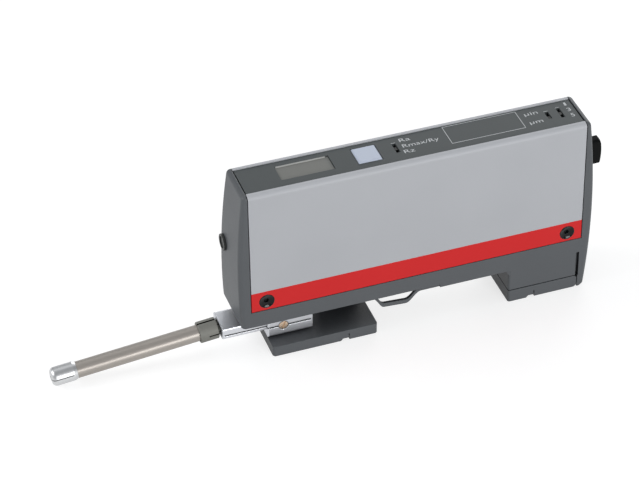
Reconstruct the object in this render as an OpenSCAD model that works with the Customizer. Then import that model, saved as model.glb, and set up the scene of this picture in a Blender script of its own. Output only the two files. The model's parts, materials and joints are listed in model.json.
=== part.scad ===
// Pocket surface roughness tester. X runs along the housing with the probe towards -X, the front
// cover faces -Y, and the feet stand on Z = 0. The modules measure X from the middle of the housing,
// and the finished part has its origin in the middle of the front foot's underside.

/* [Housing] */
// Length over the bulged ends
body_l = 140.8; // [134:0.1:150]
// Height of the top face over the feet
top_z = 74.8; // [70:0.1:84]
// Depth of the housing at foot level
base_d = 25.2; // [24:0.1:30]
// Depth of the housing at the top face
top_d = 19.7; // [19:0.1:23]
// Height of the underside over the front foot
floor_z = 16; // [15.6:0.1:16.2]
// Height of the underside beside the leg
belly_z = 14.7; // [14.5:0.1:15]
// Thickness of the floor
floor_t = 2.4; // [2:0.1:3]
// Thickness of the deck under the controls
deck_t = 3; // [2.4:0.1:4]
// Thickness of the end walls, from the widest point
end_t = 7; // [6:0.1:8]
// Thickness of the front and back walls below the covers
pan_t = 3.2; // [2.4:0.1:4]
// Radius that the ends bulge to
end_bulge_r = 300; // [220:5:600]
// Height of the widest point of the ends
bulge_z = 36; // [30:0.5:42]
// Rounding of the upright edges
edge_r = 1.8; // [1:0.1:2.4]

/* [Rear leg] */
// Length of the leg from the right end
leg_l = 33.8; // [32.5:0.1:35]
// Thickness of the leg's left wall
leg_wall = 1.6; // [1.2:0.1:2]
// Rounding between the leg and the underside
leg_fillet = 2.2; // [1:0.1:2.6]
// Depth of the upright slot in the leg
leg_slot_depth = 1.2; // [0.6:0.1:1.6]
// Width of the upright slot in the leg
leg_slot_w = 1.2; // [0.6:0.1:1.6]
// Rounding of the leg's lower right edge
heel_round = 0.8; // [0.4:0.1:1.2]
// Top of the upright slot
leg_slot_top = 16.3; // [12:0.1:20]

/* [Guard] */
// How far the guard starts before the right end of the front foot
guard_back = 1.9; // [1:0.1:3]
// Length of the guard up to the step in the underside
guard_l = 27; // [25:0.1:28]
// Length of the guard's steep left side
guard_rise = 4.7; // [4:0.1:6]
// Length of the guard's lowest stretch
guard_flat = 8.6; // [6:0.1:9]
// Length of the guard's sloping right side
guard_fall = 6.1; // [5:0.1:8]
// How far the guard dips under the housing
guard_drop = 5.6; // [4.6:0.1:5.7]
// Fall of the lowest stretch towards the right
guard_slant = 0.6; // [0:0.1:1]
// Height of the strap round the guard's window
guard_strap = 1.7; // [1.5:0.1:2.2]
// Thickness of the guard from front to back
guard_t = 1.2; // [1:0.1:2]

/* [Covers] */
// Bare end of the casting beside a cover
cover_margin = 4.5; // [4.4:0.1:5.4]
// Height of a cover's lower edge
cover_bottom_z = 23; // [22:0.1:24]
// Thickness of the sheet
sheet_t = 1; // [0.8:0.05:1.2]
// Outer radius of the bend at the top edge
bend_r = 1.8; // [1.4:0.1:2.2]
// Shadow gap round a cover
cover_gap = 0.3; // [0.2:0.05:0.5]
// Distance of the screws from a cover's ends
cover_screw_in = 5.9; // [5.4:0.1:8]
// Height of the screws
cover_screw_z = 26.8; // [26.6:0.1:28]
// Diameter of a screw's head
cover_screw_head = 6; // [5:0.1:6.4]
// Diameter of a screw's thread
cover_screw_d = 2.5; // [2:0.1:3]
// Depth of the countersink
cover_screw_sink = 1.4; // [1.2:0.1:1.6]
// Depth of the dish in a screw's head
cover_screw_dish = 0.7; // [0.4:0.1:0.8]

/* [Controls] */
// Thickness of the overlay
overlay_t = 0.8; // [0.5:0.05:0.9]
// Depth of the overlay
overlay_d = 14.6; // [13:0.1:14.8]
// Middle line of the controls
control_y = 0.6; // [0:0.1:1]
// Middle of the display from the left end
display_in = 29.6; // [28.4:0.1:31.4]
// Length of the display window
display_w = 20.6; // [18:0.1:22]
// Depth of the display window
display_d = 8.4; // [7:0.1:9]
// Ledge that carries the display window
display_ledge = 0.8; // [0.5:0.1:1.2]
// How far the display window lies under the overlay's face
display_sink = 0.35; // [0.1:0.05:0.4]
// Start button from the middle of the display
button_pitch = 23.8; // [22.8:0.1:24.8]
// Side of the start button
button_w = 9.1; // [8:0.1:10]
// Chamfer of the button's top edge
button_chamfer = 0.5; // [0.2:0.1:0.8]
// How far the button stands over the overlay
button_proud = 0.4; // [0.2:0.1:0.6]
// Travel of the start button
button_travel = 0.6; // [0.4:0.1:0.8]
// Width of the switch slots
slot_w = 1.5; // [1.3:0.1:1.8]
// Parameter switch from the middle of the button
parameter_pitch = 11.4; // [10:0.1:13]
// Length of the parameter switch's slot
parameter_slot = 5.5; // [5:0.1:6]
// Middle of the unit switch from the right end
unit_in = 15.65; // [15.4:0.05:17.4]
// Length of the unit switch's slot
unit_slot = 4.4; // [4:0.1:5]
// Middle of the cut-off switch from the right end
cutoff_in = 10.75; // [10:0.05:11]
// Length of the cut-off switch's slot
cutoff_slot = 6; // [5.6:0.1:6.6]
// Length of a knob along its slot
knob_l = 1.7; // [1.2:0.1:2]
// Length of a slide switch's can
can_l = 9.4; // [9:0.1:11]
// Width of a slide switch's can
can_w = 3.6; // [3:0.1:4]

/* [Boards] */
// Space between the deck and the key board
key_space = 4.75; // [4.6:0.05:6]
// Thickness of the boards
board_t = 1.6; // [1:0.1:2]
// Depth of the key board
key_board_d = 14.4; // [12:0.1:15]
// Diameter of the posts that carry the key board
post_d = 4.5; // [4:0.1:5]
// Diameter of the key board screws
post_screw_d = 1.8; // [1.4:0.1:2]
// Back face of the main board
main_board_y = 7.2; // [6.8:0.1:7.6]
// Height of the main board's lower edge
main_board_z = 33; // [32.5:0.1:36]
// Height of the main board
main_board_h = 20; // [16:0.1:20.5]
// Depth of the grooves that hold the main board
groove_depth = 0.8; // [0.5:0.1:1]

/* [Battery] */
// Length of the battery's long side
battery_w = 26.5; // [25.5:0.1:26.5]
// Depth of the battery
battery_d = 17.5; // [16:0.1:17.5]
// Height of the battery without its terminals
battery_h = 46.4; // [44:0.1:46.4]
// Diameter of a terminal
terminal_d = 6; // [5:0.1:7]
// Height of a terminal
terminal_h = 2.1; // [1.5:0.1:2.5]
// Distance between the terminals
terminal_pitch = 12.7; // [12:0.1:13]
// Thickness of the battery clip
clip_t = 1.8; // [1.4:0.1:2.4]
// Height of the battery door
door_h = 5.15; // [4.6:0.05:5.6]
// Groove between door and leg
door_groove = 0.4; // [0.3:0.05:0.6]
// Width of the gap at the door's right edge
door_gap = 0.3; // [0.2:0.05:0.5]
// Height of the hinge pin, and rounding of the door's edge round it
door_pin_z = 1.4; // [1.2:0.05:1.6]
// Bevel of the door's upper right edge
door_bevel = 0.8; // [0.6:0.1:1]
// Diameter of the hinge pin
door_pin_d = 1.2; // [1:0.1:1.4]
// Width of a hinge lug
lug_w = 3; // [2:0.1:4]
// Distance of the lugs from the middle
lug_y = 5; // [4:0.1:6]

/* [Ends] */
// Height of the connector
connector_z = 54.2; // [50:0.1:57]
// Diameter of the connector socket
connector_d = 10; // [8:0.1:10.6]
// Diameter of the connector cap's flange
cap_d = 11.7; // [11:0.1:13]
// Height of the cap's grip
grip_h = 11; // [10:0.1:11.6]
// Thickness of the cap's grip
grip_t = 5; // [4:0.1:7]
// How far the cap stands out
cap_l = 6.4; // [5:0.1:8]
// Diameter of the end plug's flange
plug_d = 6.4; // [5.4:0.1:6.8]
// Diameter of the end plug's stem
plug_stem_d = 4.5; // [3:0.1:5]
// Length of the end plug's stem
plug_stem_l = 4; // [3:0.1:5]
// Height of the end plug
plug_z = 44; // [42:0.1:48]
// Distance of the end plug behind the middle
plug_y = 6.4; // [4:0.1:7]

/* [Front foot] */
// Left edge of the foot plate from the left end
foot_in = 12.3; // [10.4:0.1:13.4]
// Length of the foot plate
foot_l = 41.5; // [40:0.1:42]
// Thickness of the foot plate
foot_t = 4.35; // [3.6:0.05:4.4]
// Corner radius of the foot plate
foot_r = 1.2; // [0.8:0.1:2]
// Length of the web that carries the plate
web_l = 15.4; // [12:0.1:15.6]
// Inner face of the web behind the middle
web_y = 6.3; // [6:0.1:7]
// Width of the notch in the front edge of a foot
notch_w = 3.4; // [2:0.1:4]
// Height of the notch in the front edge of a foot
notch_h = 0.9; // [0.5:0.1:1.2]
// Diameter of a foot screw
foot_screw_d = 3; // [2.5:0.1:3.2]
// Diameter of a foot screw's head
foot_screw_head = 4.8; // [4.4:0.1:5]

/* [Drive] */
// Height of the drive's axis over the floor
drive_rise = 8; // [7.5:0.1:9]
// Thickness of the drive's base
drive_t = 1.6; // [1.2:0.1:2]
// Distance of the guide rods from the middle
rod_y = 5.5; // [5:0.1:6]
// Diameter of the guide rods
rod_d = 3; // [2:0.1:3.2]
// Diameter of the lead screw
screw_d = 2.5; // [2:0.1:3]
// Diameter of the lead nut
nut_d = 5.6; // [5:0.1:6]
// Length of the carriage
carriage_l = 8; // [7:0.1:8.4]
// Length of the carriage's neck
neck_l = 6; // [5:0.1:6.4]
// Width of the carriage's neck
neck_w = 7; // [5:0.1:7.6]
// Traverse of the carriage
traverse = 5; // [4:0.1:5.6]
// Diameter of the gearhead
gearhead_d = 12; // [10:0.1:13]
// Length of the gearhead
gearhead_l = 10.5; // [8:0.1:14]
// Diameter of the motor
motor_d = 11.6; // [9:0.1:12]
// Length of the motor
motor_l = 15; // [12:0.1:20]
// Diameter of the motor shaft
shaft_d = 2; // [1.5:0.1:2]
// Diameter of the coupling
coupling_d = 7; // [6:0.1:8]

/* [Probe holder] */
// Swivel axis from the left end
swivel_in = 14.9; // [14.4:0.1:15.4]
// Diameter of the swivel pin
swivel_d = 3.5; // [3:0.1:3.6]
// Right end of the block behind the swivel axis
block_back = 14.9; // [13.5:0.1:15.1]
// Length of the block
block_l = 17.7; // [16:0.1:18.4]
// Width of the block
block_w = 14; // [12:0.1:14.4]
// Height of the block
block_h = 8.7; // [8:0.1:9]
// Rounding of the block's long edges
block_r = 0.8; // [0.5:0.1:2]
// Rounding of the block's left end
block_nose_r = 0.6; // [0.4:0.1:2]
// Height of the slit
slit_z = 9.35; // [9:0.05:9.5]
// Width of the slit
slit_w = 0.5; // [0.3:0.05:0.8]
// Depth of the slit
slit_depth = 2.2; // [1:0.1:3]
// Left end of the sleeve before the swivel axis
sleeve_reach = 20; // [19:0.1:21]
// Width of the sleeve
sleeve_w = 11.2; // [10:0.1:11.6]
// Height of the sleeve
sleeve_h = 5; // [4.6:0.05:5.4]
// Rounding of the sleeve's long edges
sleeve_r = 0.8; // [0.5:0.1:2]
// Clamp screw behind the swivel axis
clamp_offset = 3.4; // [3.2:0.1:5]
// Diameter of the clamp screw's head
clamp_head_d = 3.5; // [3:0.1:4]
// Diameter of the clamp screw's shank
clamp_d = 2; // [1.6:0.1:2]

/* [Probe] */
// Tilt axis before the swivel axis
tilt_reach = 16; // [15.5:0.1:16.5]
// Tilt axis over the feet
tilt_z = 10.07; // [9.9:0.01:10.3]
// Diameter of the tilt pin
tilt_d = 1.5; // [1.2:0.1:1.6]
// Droop of the probe at rest, in degrees
droop = 5.3; // [4:0.1:5.4]
// Thickness of the tongue in the sleeve
tongue_t = 2.4; // [1.8:0.1:2.5]
// Width of the tongue in the sleeve
tongue_w = 5.6; // [4:0.1:6]
// Distance of the collar from the tilt axis
collar_s = 4.7; // [4.6:0.1:5.4]
// Length of the collar
collar_l = 7.2; // [6:0.1:8]
// Diameter of the collar
collar_d = 8.2; // [7.6:0.1:8.3]
// Diameter of the tube
tube_d = 6.3; // [5.6:0.05:6.4]
// Wall of the tube
tube_wall = 0.6; // [0.4:0.05:0.8]
// Distance of the tip's front end from the tilt axis
tip_end_s = 69; // [66:0.1:69.5]
// Length of the tip
tip_l = 9.8; // [8:0.1:11]
// Diameter of the tip
tip_d = 7.2; // [6.6:0.1:7.3]
// Rounding of the tip's end
tip_r = 1.9; // [1:0.1:2.4]
// Width of the slot for the stylus
tip_slot_w = 1.3; // [1:0.1:1.6]
// Diameter of the stylus
stylus_d = 0.9; // [0.6:0.1:0.9]
// How far the stylus stands out of the tip
stylus_proud = 0.15; // [0.05:0.05:0.2]
// Length of the pick-up coil
coil_l = 10; // [6:0.5:14]

/* [Clearances] */
// Radial clearance of a running fit
run_fit = 0.05; // [0.02:0.01:0.1]
// Clearance in diameter of pressed pins and rods
press_fit = 0.02; // [0.01:0.01:0.04]
// Gap between pieces that seat on each other
seat = 0.05; // [0:0.01:0.1]
// Side clearance of buttons, knobs and boards
play = 0.2; // [0.1:0.05:0.3]

/* [Hidden] */
$fn = 48;
eps = 0.5;
far = 60;
disc = 0.05;
body_levels = 12;

// Housing
lean_slope = (base_d - top_d) / 2 / top_z;
lean = atan(lean_slope);
cavity_x = body_l / 2 - end_t;
leg_x = body_l / 2 - leg_l;
foot_x = foot_in - body_l / 2;
guard_x = foot_x + foot_l - guard_back;
step_x = guard_x + guard_l;
cover_l = body_l - 2 * cover_margin;
cover_screw_x = cover_l / 2 - cover_screw_in;
shoulder_z = top_z - sheet_t - seat;
deck_bottom = shoulder_z - deck_t;
floor_top = floor_z + floor_t;
pan_rim = 2;
pan_top = cover_bottom_z + pan_rim / 4;
leg_r = edge_r / 2;
guard_recess = 0.4;
tail_up = 0.2;
guard_tail = floor_z - belly_z - tail_up;
fillet_recess = 0.1;
pad_w = 10;
pad_t = 2;
seat_half_l = cover_l / 2 + cover_gap;
cover_screw_l = (half_d(cover_screw_z) - battery_d / 2) * cos(lean) - play;

// Controls
overlay_l = cover_l - 2 * play;
overlay_top = shoulder_z + overlay_t;
key_top = deck_bottom - key_space;
display_x = display_in - body_l / 2;
button_x = display_x + button_pitch;
parameter_x = button_x + parameter_pitch;
unit_x = body_l / 2 - unit_in;
cutoff_x = body_l / 2 - cutoff_in;
post_in = 4.4;
mid_post = 10.6;
posts = [post_in - cavity_x, parameter_x + mid_post, unit_x - can_w - post_d];
board_inset = 1;
screw_tip_gap = 1;
switch_w = 6.2;
switch_h = 2.8;
switch_top = key_top + switch_h;
plunger_d = 3;
plunger_h = 1.8;
plunger_top = switch_top + button_travel + play;
flange_t = 0.9;
flange_w = 0.6;
flange_top = plunger_top + seat + flange_t;
can_h = 3.6;
can_top = key_top + can_h;
can_slot = 1.4;
knob_bottom = can_top - can_slot + seat;
knob_sink = 0.3;
knob_top = overlay_top - knob_sink;

// Battery compartment
battery_x0 = leg_x + leg_wall + play;
bay_x1 = battery_x0 + battery_w + play;
bay_d = battery_d + 2 * play;
battery_z = door_h + play;
partition_top = battery_z + battery_h + terminal_h + play;
door_x1 = bay_x1 - door_gap / 2;
leg_foot_x = door_x1 + door_gap;
door_pin_x = door_x1 - door_pin_z;
bay_head = 1;
clip_inset = 1;
lug_inset = 0.3;
leg_notch_in = 7.5;
foot_notch_in = 26.8;
leg_notch_x = leg_x + leg_notch_in;
foot_notch_x = foot_x + foot_notch_in;
web_inset = 0.4;
foot_screw_in = 4;

// Ends
socket_rim = 1;

// Drive
drive_z = floor_top + drive_rise;
base_top = floor_top + drive_t;
swivel_x = swivel_in - body_l / 2;
block_end_x = swivel_x + block_back;
sleeve_x = swivel_x - sleeve_reach;
tilt_x = swivel_x - tilt_reach;
carriage_x0 = swivel_x - carriage_l / 2;
plate_t = 2;
plate_gap = 0.5;
left_plate_x = carriage_x0 - plate_gap - plate_t;
right_plate_x = carriage_x0 + carriage_l + traverse + plate_gap;
rod_l = right_plate_x - left_plate_x + plate_t;
coupling_x = right_plate_x + plate_t + play;
coupling_l = 7;
motor_plate_x = coupling_x + coupling_l + play;
motor_plate_t = 1.5;
gearhead_x = motor_plate_x + motor_plate_t;
motor_x = gearhead_x + gearhead_l;
drive_gap = 0.7;
drive_half_w = half_d(floor_top) - pan_t - drive_gap;
plate_rise = 5;
plate_top = drive_z + plate_rise;
motor_plate_rise = 1;
carriage_side = 0.4;
carriage_under = 0.6;
carriage_rise = 4;
base_screw_in = 2;
motor_screw_in = 6;
screw_floor = 0.8;
shaft_grip = 1;
block_top = slit_z + block_h / 2;
neck_bottom = block_top + seat;
head_t = 1.2;
swivel_head_d = swivel_d + 2;
pin_depth = 7;
clamp_head = 1.1;
clamp_l = 5.8;
slit_in = 0.7;
tilt_in = 0.4;
neck_gap = 0.4;
coupling_grip = 3;

// Probe
tube_grip = 4;
tongue_tail = 3;
tube_s0 = collar_s + collar_l - tube_grip;
tip_s0 = tip_end_s - tip_l;
stylus_back = 2.7;
stylus_s = tip_end_s - stylus_back;
tube_bore = tube_d - 2 * tube_wall;
spigot_l = 3;
coil_s0 = tip_s0 - spigot_l - play - coil_l;

// Half the depth of the leaning housing at a height
function half_d(z) = base_d / 2 - lean_slope * z;
// Half the length of the bulged ends at a height
function end_x(z) = body_l / 2 - pow(z - bulge_z, 2) / (2 * end_bulge_r);
// How far the guard's lower edge dips at a distance from its left end
function dip(u) = let (fall_u = guard_rise + guard_flat, v = (u - fall_u) / guard_fall)
    u < guard_rise ? (guard_drop - guard_slant) * (1 - cos(180 * u / guard_rise)) / 2
    : u < fall_u ? guard_drop - guard_slant * (fall_u - u) / guard_flat
    : guard_tail + (guard_drop - guard_tail) * (1 + cos(180 * min(1, v))) / 2;

// Rectangle with round corners about the origin
module rounded_rect(w, h, r) {
    square([w - 2 * r, h], center = true);
    square([w, h - 2 * r], center = true);
    for (x = [-1, 1], y = [-1, 1])
        translate([x * (w / 2 - r), y * (h / 2 - r)]) circle(r);
}

// Outline in Y and Z carried along X from x0 over a length
module along_x(x0, l) {
    translate([x0, 0, 0]) rotate([90, 0, 90]) linear_extrude(l) children();
}

// Outline in X and Z carried along Y from y0 over a length
module along_y(y0, l) {
    translate([0, y0 + l, 0]) rotate([90, 0, 0]) linear_extrude(l) children();
}

// Round bar along X
module bar_x(x0, l, d) {
    translate([x0, 0, 0]) rotate([0, 90, 0]) cylinder(d = d, h = l);
}

// Round bar along Y
module bar_y(y0, l, d) {
    translate([0, y0, 0]) rotate([-90, 0, 0]) cylinder(d = d, h = l);
}

// Box between two corners
module box(low, high) {
    translate(low) cube(high - low);
}

// Places its children on the leaning front face, with +Z out of the face
module on_front(x, z) {
    translate([x, -half_d(z), z]) rotate([90 - lean, 0, 0]) children();
}

// The front and its mirror image at the back
module both_sides() {
    children();
    mirror([0, 1, 0]) children();
}

// Prism between the leaning faces
module leaning_prism(x0, x1, z0, z1) {
    along_x(x0, x1 - x0)
        polygon([[-half_d(z0), z0], [half_d(z0), z0], [half_d(z1), z1], [-half_d(z1), z1]]);
}

// Pair of thin discs, front and back, that a round corner passes through at one height
module corner_discs(x, z, r) {
    for (y = [-1, 1])
        translate([x, y * (half_d(z) - r), z]) cylinder(r1 = r, r2 = r / 2, h = disc, $fn = 32);
}

module body_solid() {
    ball_z = top_z - edge_r;
    hull()
        for (side = [-1, 1]) {
            for (i = [0:body_levels])
                let (z = belly_z + (ball_z - belly_z) * i / body_levels)
                    corner_discs(side * (end_x(z) - edge_r), z, edge_r);
            for (y = [-1, 1])
                translate([side * (end_x(ball_z) - edge_r), y * (half_d(ball_z) - edge_r), ball_z])
                    sphere(edge_r, $fn = 32);
        }
}

module leg_solid() {
    hull() {
        for (z = [0, belly_z])
            corner_discs(leg_x + leg_r, z, leg_r);
        for (z = [heel_round, belly_z / 3, belly_z * 2 / 3, belly_z])
            corner_discs(end_x(z) - edge_r, z, edge_r);
        corner_discs(end_x(0) - heel_round - edge_r, 0, edge_r);
        box([leg_x + end_t, -top_d / 4, belly_z], [cavity_x, top_d / 4, floor_top]);
    }
}

// Dipped guard with its window, in line with the front face
module guard() {
    steps = 54;
    top = floor_z + guard_recess;
    outer = [for (i = [0:steps]) let (u = guard_l * i / steps) [guard_x + u, floor_z - dip(u)]];
    window = [for (i = [0:steps]) let (u = guard_l * i / steps) if (dip(u) > guard_strap)
        [guard_x + u, floor_z - dip(u) + guard_strap]];
    along_y(guard_recess - half_d(floor_z), guard_t) difference() {
        polygon(concat([[guard_x, top]], outer,
            [[step_x + guard_tail, belly_z + tail_up], [step_x + guard_tail, top]]));
        polygon(window);
    }
}

// Space round the core of the housing that the covers and the overlay take up
module cover_space() {
    low = cover_bottom_z - cover_gap;
    wall = (sheet_t + seat) / cos(lean);
    c = bend_r - sheet_t - 2 * seat;
    side = [[half_d(low) - wall, low - eps], [half_d(low) - wall, low],
        [half_d(shoulder_z - c) - wall, shoulder_z - c], [half_d(shoulder_z) - wall - c, shoulder_z]];
    along_x(-seat_half_l, 2 * seat_half_l) difference() {
        translate([-far, low]) square([2 * far, top_z + eps - low]);
        polygon(concat(side, [for (i = [len(side) - 1:-1:0]) [-side[i][0], side[i][1]]]));
    }
}

// Round inner corner between the underside and the leg
module leg_corner() {
    y = half_d(belly_z) - fillet_recess;
    difference() {
        box([leg_x - leg_fillet, -y, belly_z - leg_fillet], [leg_x + leg_r, y, belly_z + fillet_recess]);
        translate([leg_x - leg_fillet, 0, belly_z - leg_fillet]) bar_y(-far, 2 * far, 2 * leg_fillet);
    }
}

// Countersunk hole for a cover screw
module cover_screw_hole(x, clearance) {
    on_front(x, cover_screw_z) {
        translate([0, 0, -cover_screw_sink])
            cylinder(d1 = cover_screw_d + 2 * clearance, d2 = cover_screw_head + 2 * clearance,
                h = cover_screw_sink);
        cylinder(d = cover_screw_head + 2 * clearance, h = eps);
        translate([0, 0, -cover_screw_l - eps])
            cylinder(d = cover_screw_d + 2 * clearance, h = cover_screw_l + eps);
    }
}

// Notch and saw cut in the front edge of a foot
module foot_notch(x) {
    slit = 0.35;
    depth = 2.5;
    along_y(-base_d / 2 - eps, depth + eps)
        polygon([[x, -eps], [x, 0], [x + notch_h, notch_h], [x + notch_w, notch_h], [x + notch_w, -eps]]);
    box([x + notch_w - slit, -base_d / 2 - eps, -eps],
        [x + notch_w, -base_d / 2 + depth / 2, 3 * notch_h]);
}

module frame() {
    color("#54585a") difference() {
        union() {
            difference() {
                union() {
                    difference() {
                        body_solid();
                        box([-body_l, -far, 0], [step_x, far, floor_z]);
                    }
                    leg_solid();
                    leg_corner();
                    guard();
                }
                cover_space();
                box([-cavity_x, -far, pan_top], [cavity_x, far, deck_bottom]);
                pan = half_d(floor_top) - pan_t;
                box([-cavity_x, -pan, floor_top], [cavity_x, pan, pan_top + eps]);
            }
            // Pads behind the cover screws
            both_sides() for (x = [-1, 1])
                on_front(x * cover_screw_x, pan_top)
                    translate([-pad_w / 2, -pan_rim, -sheet_t - seat - pad_t])
                        cube([pad_w, cover_screw_z - pan_top + pad_w / 2, pad_t]);
            // Wall between the battery and the electronics
            box([leg_x, -bay_d / 2 - play, floor_z], [leg_x + leg_wall, bay_d / 2 + play, partition_top]);
            for (x = posts)
                translate([x, control_y, key_top + seat]) cylinder(d = post_d, h = key_space);
        }
        for (x = posts)
            translate([x, control_y, key_top - eps])
                cylinder(d = post_screw_d + 2 * run_fit, h = key_space);
        // Battery bay, door and hinge
        box([leg_x + leg_wall, -bay_d / 2, -eps], [bay_x1, bay_d / 2, partition_top + clip_t + bay_head]);
        difference() {
            box([leg_x - eps, -far, -eps], [leg_foot_x, far, door_h + door_groove]);
            for (y = [-lug_y, lug_y])
                hinge_lug(y);
        }
        translate([door_pin_x, 0, door_pin_z])
            bar_y(-lug_y - lug_w, 2 * (lug_y + lug_w), door_pin_d + 2 * run_fit);
        box([door_x1 - leg_slot_w / 2, -far, door_h], [door_x1 + leg_slot_w / 2,
            -half_d(leg_slot_top) + leg_slot_depth, leg_slot_top]);
        // Openings of the controls
        control_hole(display_x, display_w - 2 * display_ledge, display_d - 2 * display_ledge);
        control_hole(button_x, button_w + 2 * play, button_w + 2 * play);
        control_hole(parameter_x, slot_w, parameter_slot);
        control_hole(unit_x, slot_w, unit_slot);
        control_hole(cutoff_x, slot_w, cutoff_slot);
        // Slot of the carriage's neck and holes of the screws under the floor
        neck_slot(floor_z, floor_top);
        for (x = foot_screw_places())
            translate([x, foot_screw_y(), floor_z - eps])
                cylinder(d = foot_screw_d + 2 * run_fit, h = floor_t);
        for (p = drive_screw_places())
            translate([p[0], p[1], floor_z + screw_floor])
                cylinder(d = cover_screw_d + 2 * run_fit, h = floor_t);
        // Screws of the covers
        both_sides() for (x = [-1, 1])
            cover_screw_hole(x * cover_screw_x, run_fit);
        // Connector and plug in the ends
        translate([0, 0, connector_z]) {
            bar_x(bay_x1 - eps, far, connector_d + 2 * run_fit);
            bar_x(end_x(connector_z), far, cap_d + 2 * play);
        }
        translate([0, plug_y, plug_z])
            bar_x(-body_l / 2 - eps, plug_stem_l + 2 * eps, plug_stem_d + 2 * run_fit);
        // Grooves of the main board
        for (x = [-cavity_x - groove_depth, leg_x - eps])
            box([x, main_board_y - board_t - play / 2, main_board_z - seat],
                [x + groove_depth + eps, main_board_y + play / 2, main_board_z + main_board_h + play]);
    }
}

// Slot that the carriage's neck runs in
module neck_slot(z0, z1) {
    box([swivel_x - neck_l / 2 - neck_gap, -neck_w / 2 - neck_gap, z0 - eps],
        [swivel_x + neck_l / 2 + traverse + neck_gap, neck_w / 2 + neck_gap, z1 + eps]);
}

// Opening of a control through deck and overlay
module control_hole(x, w, d) {
    box([x - w / 2, control_y - d / 2, deck_bottom - eps], [x + w / 2, control_y + d / 2, top_z + eps]);
}

// Lug of the leg that carries the door's pin
module hinge_lug(y) {
    r = door_pin_z - lug_inset;
    translate([door_pin_x, y - lug_w / 2, door_pin_z]) bar_y(0, lug_w, 2 * r);
    box([door_pin_x, y - lug_w / 2, door_pin_z - r], [leg_foot_x + eps, y + lug_w / 2, door_pin_z + r]);
}

function foot_screw_places() = [foot_x + foot_l - web_l + foot_screw_in, foot_x + foot_l - foot_screw_in];
function foot_screw_y() = (web_y + half_d(floor_z)) / 2;
function drive_screw_places() = [for (x = [gearhead_x + base_screw_in, motor_x + motor_screw_in])
    [x, drive_half_w - base_screw_in]];

// Sheet bent over the top edge, with countersunk holes
module cover() {
    steps = 12;
    bend_z = top_z - bend_r;
    bend_y = -half_d(bend_z) + bend_r / cos(lean);
    foot_y = -half_d(cover_bottom_z);
    lip_y = -overlay_d / 2 - play;
    turn = 90 - lean;
    outer = [for (i = [0:steps]) let (a = 180 - lean - turn * i / steps)
        [bend_y + bend_r * cos(a), bend_z + bend_r * sin(a)]];
    inner = [for (i = [0:steps]) let (a = 90 + turn * i / steps)
        [bend_y + (bend_r - sheet_t) * cos(a), bend_z + (bend_r - sheet_t) * sin(a)]];
    difference() {
        along_x(-cover_l / 2, cover_l)
            polygon(concat([[foot_y, cover_bottom_z]], outer, [[lip_y, top_z], [lip_y, top_z - sheet_t]],
                inner, [[foot_y + sheet_t / cos(lean), cover_bottom_z]]));
        for (x = [-1, 1])
            cover_screw_hole(x * cover_screw_x, run_fit);
    }
}

module front_cover() {
    color("#b2b4b8") cover();
}

module rear_cover() {
    color("#b2b4b8") mirror([0, 1, 0]) cover();
}

module cover_screws() {
    socket_d = 2;
    rim = 0.3;
    dish_a = cover_screw_head / 2 - rim;
    dish_r = (pow(dish_a, 2) + pow(cover_screw_dish, 2)) / (2 * cover_screw_dish);
    color("#151617") both_sides() for (x = [-1, 1])
        on_front(x * cover_screw_x, cover_screw_z) difference() {
            union() {
                translate([0, 0, -cover_screw_sink])
                    cylinder(d1 = cover_screw_d, d2 = cover_screw_head, h = cover_screw_sink);
                translate([0, 0, -cover_screw_l]) cylinder(d = cover_screw_d, h = cover_screw_l);
            }
            translate([0, 0, -cover_screw_sink]) cylinder(d = socket_d, h = 2 * cover_screw_sink, $fn = 6);
            translate([0, 0, dish_r - cover_screw_dish]) sphere(dish_r, $fn = 96);
        }
}

// Dark strip over the deck with the windows of the controls
module top_overlay() {
    color("#4a4e52") difference() {
        box([-overlay_l / 2, -overlay_d / 2, shoulder_z], [overlay_l / 2, overlay_d / 2, overlay_top]);
        control_hole(display_x, display_w, display_d);
        control_hole(button_x, button_w + 2 * play, button_w + 2 * play);
        control_hole(parameter_x, slot_w, parameter_slot);
        control_hole(unit_x, slot_w, unit_slot);
        control_hole(cutoff_x, slot_w, cutoff_slot);
    }
}

// Block about a control's middle between two heights
module control_block(x, w, d, z0, z1) {
    box([x - w / 2, control_y - d / 2, z0], [x + w / 2, control_y + d / 2, z1]);
}

module display_window() {
    color("#787873") control_block(display_x, display_w - play, display_d - play, shoulder_z,
        overlay_top - display_sink);
}

module display_module() {
    color("#5c6058") {
        control_block(display_x, display_w + 2 * display_ledge, display_d + 2 * display_ledge, key_top,
            deck_bottom - play);
        control_block(display_x, display_w - 2 * display_ledge - 2 * play,
            display_d - 2 * display_ledge - 2 * play, key_top + display_ledge, shoulder_z - play);
    }
}

module key_board() {
    color("#2f5d3a") difference() {
        box([-cavity_x + board_inset, control_y - key_board_d / 2, key_top - board_t],
            [cavity_x - board_inset, control_y + key_board_d / 2, key_top]);
        for (x = posts)
            translate([x, control_y, key_top - board_t - eps])
                cylinder(d = post_screw_d + 2 * play, h = board_t + 2 * eps);
    }
}

module key_board_screws() {
    color("silver") for (x = posts) translate([x, control_y, key_top - board_t]) {
        translate([0, 0, -head_t]) cylinder(d = 2 * post_screw_d, h = head_t);
        translate([0, 0, -eps]) cylinder(d = post_screw_d, h = eps + board_t + key_space - screw_tip_gap);
    }
}

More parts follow.
